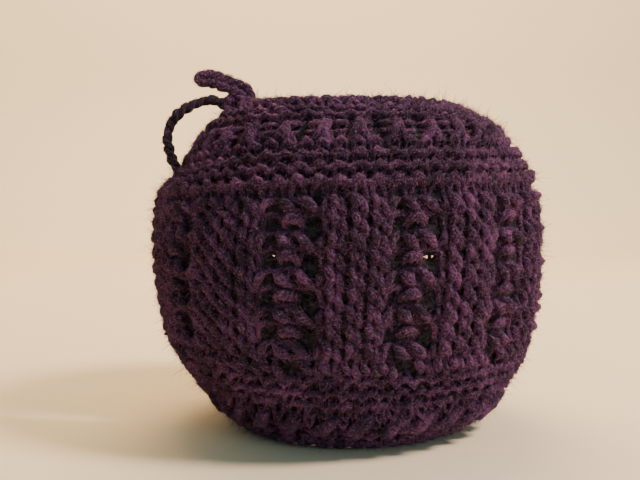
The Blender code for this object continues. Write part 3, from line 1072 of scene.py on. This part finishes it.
# %% [markdown]
# ## The tie
# The tie is a crocheted chain of the same wool. It is knotted once where it pulls the split together. One end
# goes out and back as a doubled bow loop, and the other runs back into the cosy at the split's front edge.
# A chain shows as a row of fat links, so each cord is two yarns that bulge in turn on either side of its
# line: looped links would be hidden by the wool's nap.

# %% Chain cords
CHAIN_DIAMETER = 4.0
CHAIN_LINK = 4.2
CHAIN_YARN = 2.4
CHAIN_STEP = 0.55
CHAIN_THIN, CHAIN_BULGE, BULGE_AT = 1.13, 0.26, 0.9     # in yarns, in yarns and in radians


def chain_cord(name, line, seed, wool=PLUM_TIE):
    """Two yarns wound round a line at one link for each half turn, in one mesh."""
    lengths = lengths_along(line)
    steps = np.arange(0.0, lengths[-1], CHAIN_STEP)
    centre = at_lengths(line, lengths, steps)
    across, upright = carried_frames(centre)
    turn = -math.pi * steps / CHAIN_LINK
    reach = (CHAIN_DIAMETER - CHAIN_YARN) / 2.0
    yarns, paths = [], []
    for half, start in enumerate((0.0, math.pi)):
        angle = turn + start
        path = centre + reach * (np.cos(angle)[:, None] * across + np.sin(angle)[:, None] * upright)
        fat = CHAIN_YARN * (CHAIN_THIN + CHAIN_BULGE * np.maximum(np.sin(angle + BULGE_AT), 0.0))
        yarns.append(yarn_mesh(f"{name}_yarn_{half}", path, fat, wool, seed + half))
        paths.append(path)
    return join_meshes(name, yarns), paths


def join_meshes(name, pieces):
    bm = bmesh.new()
    for piece in pieces:
        bm.from_mesh(piece.data)
    joined = add_bmesh(name, bm, pieces[0].data.materials[0])
    for piece in pieces:
        bpy.data.objects.remove(piece)
    return joined


# %% Strand, bow loop and knot
KNOT_CENTRE = np.array([-46.8, 0.0, 134.1])
STRAND_ROUTE = ((-52.3, -0.1, 135.9), (-58.8, -0.7, 137.6), (-66.0, -1.8, 135.8), (-71.9, -3.0, 132.2),
                (-75.6, -4.4, 127.0), (-76.8, -6.0, 120.8), (-75.6, -7.6, 114.6), (-73.2, -9.0, 109.6),
                (-70.2, -10.4, 106.2))
BOW_ROUTE = (
    # up from the knot, out along the top, round the tip and back underneath
    (-44.6, 0.6, 134.6), (-42.7, 0.8, 137.6), (-42.3, 0.8, 141.0), (-44.8, 0.5, 143.4), (-49.0, 0.0, 145.2),
    (-53.6, -0.6, 146.9), (-58.2, -1.0, 148.0), (-62.2, -1.1, 147.8), (-64.0, -1.2, 146.2),
    (-62.2, -1.3, 144.9), (-58.2, -1.3, 144.9), (-53.4, -1.0, 143.3), (-48.6, -0.8, 141.4),
    (-45.8, -1.0, 139.4), (-45.4, -0.6, 136.4))
strand_line = smooth_through(STRAND_ROUTE, 8)
# The strand's darker wool colour is painted shade.
strand, strand_yarns = chain_cord("tie_chain", strand_line, 21, STRAND_WOOL_PAINTED_SHADE)
bow, bow_yarns = chain_cord("tie_bow", smooth_through(BOW_ROUTE, 8), 23)
WRAP_TURNS, WRAP_POINTS = 1.05, 27


def wrap(radii, tilt, centre):
    """A ring of cord round the knot, tilted about X and then about Y."""
    a = np.linspace(0.0, math.tau * WRAP_TURNS, WRAP_POINTS)
    ring = np.stack([radii[0] * np.cos(a), radii[1] * np.sin(a), radii[2] * np.sin(2.0 * a + 0.6)], -1)
    for (b, d), angle in zip(((1, 2), (0, 2)), tilt):
        c, s = math.cos(angle), math.sin(angle)
        ring[:, [b, d]] = np.stack([c * ring[:, b] - s * ring[:, d], s * ring[:, b] + c * ring[:, d]], -1)
    return ring + centre


knot_parts = []
for number, (radii, tilt, shift) in enumerate((
        ((4.0, 3.2, 0.5), (1.35, 0.25), (0.6, 0.0, 0.8)), ((4.3, 3.0, 0.5), (1.7, -0.75), (-1.4, -0.2, 1.0)),
        ((3.8, 3.2, 0.4), (0.5, 0.9), (-0.4, 0.1, 0.2)), ((3.0, 2.6, 0.4), (-0.6, -0.3), (1.4, -0.2, 1.8)))):
    ring = wrap(radii, tilt, KNOT_CENTRE + np.array(shift))
    knot_parts.append(chain_cord(f"knot_wrap_{number}", ring, 51 + number))
knot = join_meshes("tie_knot_wraps", [piece for piece, _ in knot_parts])
tie_yarns = [*strand_yarns, *bow_yarns, *(yarn for _, yarns in knot_parts for yarn in yarns)]
NAP_ON_STRAND, NAP_ON_TIE = 5, 14       # fibres at each point of the yarn
tie_fuzz = []
for number, yarn in enumerate(tie_yarns):
    fibres = (NAP_ON_STRAND if number < len(strand_yarns) else NAP_ON_TIE) * len(yarn)
    tie_fuzz.append(nap(f"tie_nap_{number + 1}", yarn, np.ones(len(yarn)), np.full(len(yarn), CHAIN_YARN),
                        fibres, 61 + number))
tie_nap = join_meshes("tie_nap", tie_fuzz)

# %% [markdown]
# ## Studio
# A plain pale floor that bends up behind the cosy keeps every edge of its dark wool clear. The key light is
# warm and high on the right, the fill is large, cool and weaker, and a third light brightens the backdrop.

# %% Floor
FLOOR_REACH, FLOOR_SEAM, BEND_FROM, BEND_RADIUS, BACKDROP_TOP = 9.0, -1.2, 0.75, 0.25, 1.6


def stage_plane():
    """A floor that bends up into a backdrop behind the cosy."""
    bm = bmesh.new()
    bend = np.linspace(0.1, math.pi / 2, 10)
    profile = [(-FLOOR_REACH, 0.0), (FLOOR_SEAM, 0.0), (BEND_FROM, 0.0)]
    profile += [(BEND_FROM + BEND_RADIUS * math.sin(a), BEND_RADIUS * (1.0 - math.cos(a))) for a in bend]
    profile += [(BEND_FROM + BEND_RADIUS, BACKDROP_TOP)]
    rows = [[bm.verts.new((x, y, z)) for x in (-FLOOR_REACH, FLOOR_REACH)] for y, z in profile]
    for a, b in zip(rows, rows[1:]):
        bm.faces.new((a[0], a[1], b[1], b[0]))
    material, tree, shader = new_material("studio_pale_paper", 0.75)
    feed(tree, shader, {"Base Color": linear("#ECDDC4")})
    obj = add_bmesh("studio_floor", bm, material)
    obj.data.shade_smooth()
    print("floor:", obj.name, "m:", [round(v, 2) for v in obj.dimensions])


stage_plane()


# %% Light
def area_light(name, place, aim, size, power, colour):
    data = bpy.data.lights.new(name, "AREA")
    data.shape = "DISK"
    data.size = size
    data.energy = power
    data.color = linear(colour)[:3]
    light = add_object(name, data)
    light.location = place
    light.rotation_euler = (Vector(aim) - Vector(place)).to_track_quat("-Z", "Y").to_euler()
    print(f"{name}: {power} W, {size} m across")


area_light("key_light", (0.72, -0.42, 1.00), (0.0, 0.0, 0.08), 0.30, 23.5, "#FFE8D6")
area_light("fill_light", (0.84, -1.9, 0.62), (0.0, 0.0, 0.02), 1.1, 10.5, "#D2F0F2")
area_light("backdrop_light", (0.0, 0.45, 1.1), (0.0, 1.0, 0.35), 0.8, 24.0, "#FFD7A0")
world = bpy.data.worlds.new("studio_world")
world.use_nodes = True
sky = world.node_tree.nodes["Background"]
feed(world.node_tree, sky, {"Color": linear("#C4E8E8"), "Strength": 0.34})
bpy.context.scene.world = world

# %% [markdown]
# ## Fasten
# Nothing here turns on a hinge, so every piece rides on the one body. The net takes the place of the model's
# cloth and each cord that of its own solid.

# %% Fasten and finish
for piece in (*bands, *fuzz, ground, strand, bow, knot, tie_nap):
    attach(piece, "root")
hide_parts("cosy_body")
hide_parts("tie_strand")
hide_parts("bow_loop")
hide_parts("tie_knot")
